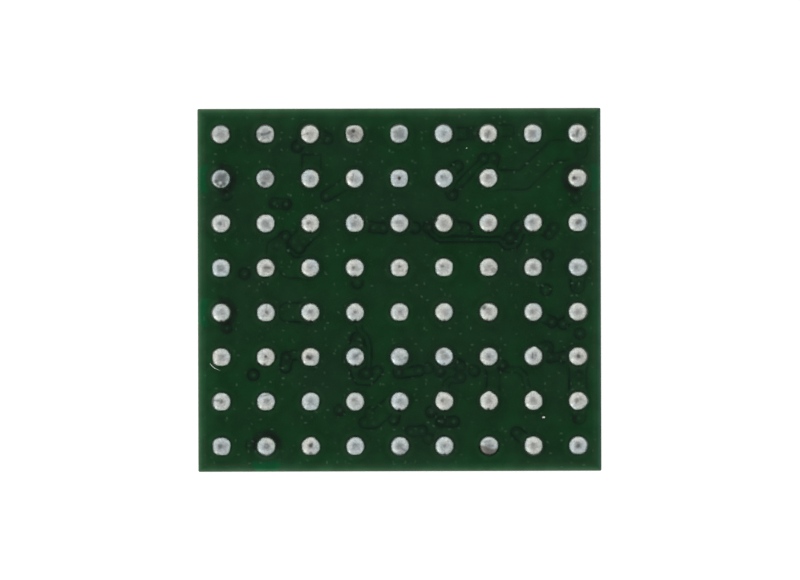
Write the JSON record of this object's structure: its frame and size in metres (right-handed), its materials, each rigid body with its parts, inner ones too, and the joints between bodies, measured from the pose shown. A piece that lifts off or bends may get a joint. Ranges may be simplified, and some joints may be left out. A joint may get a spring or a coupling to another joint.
{
  "type": "ball grid array chip",
  "caption": "Flat semiconductor package: a moulded cap on a green laminate, whose other face carries a regular grid of solder balls that join it to a circuit board.",
  "frame": {"origin": "centre of the moulded cap's flat face, which lies on the floor: bottom centre of the whole part", "axes": "+Z out of the balls, +X along the longer side, +Y along the shorter side; the marked corner of the ball grid is at +X +Y"},
  "size_m": [0.009, 0.0082, 0.0014],
  "materials": {
    "mould_compound": "black moulded resin, fine matt texture",
    "silicon": "ground back, glossy circuit side",
    "die_adhesive": "cured silver-filled paste",
    "pad_metal": "thin bright film",
    "bond_wire": "bright drawn gold wire",
    "solder_mask": "dark green cured film, satin gloss, glass cloth showing faintly",
    "copper_foil": "etched foil and plating",
    "glass_laminate": "sawn glass cloth and resin",
    "via_resin": "cured plugging resin",
    "solder": "reflowed tin alloy, dull satin with small dents"
  },
  "bodies": {
    "root": {"mould_cap": "mould_compound", "silicon_die": "silicon", "die_attach": "die_adhesive", "bond_pads": "pad_metal", "bond_wires_north": "bond_wire", "bond_wires_south": "bond_wire", "bond_wires_east": "bond_wire", "bond_wires_west": "bond_wire", "die_side_mask": "solder_mask", "die_side_copper": "copper_foil", "laminate_core": "glass_laminate", "via_barrels": "copper_foil", "via_fill": "via_resin", "ball_side_copper": "copper_foil", "ball_side_mask": "solder_mask", "solder_balls_row_a": "solder", "solder_balls_row_b": "solder", "solder_balls_row_c": "solder", "solder_balls_row_d": "solder", "solder_balls_row_e": "solder", "solder_balls_row_f": "solder", "solder_balls_row_g": "solder", "solder_balls_row_h": "solder"}
  },
  "joints": []
}
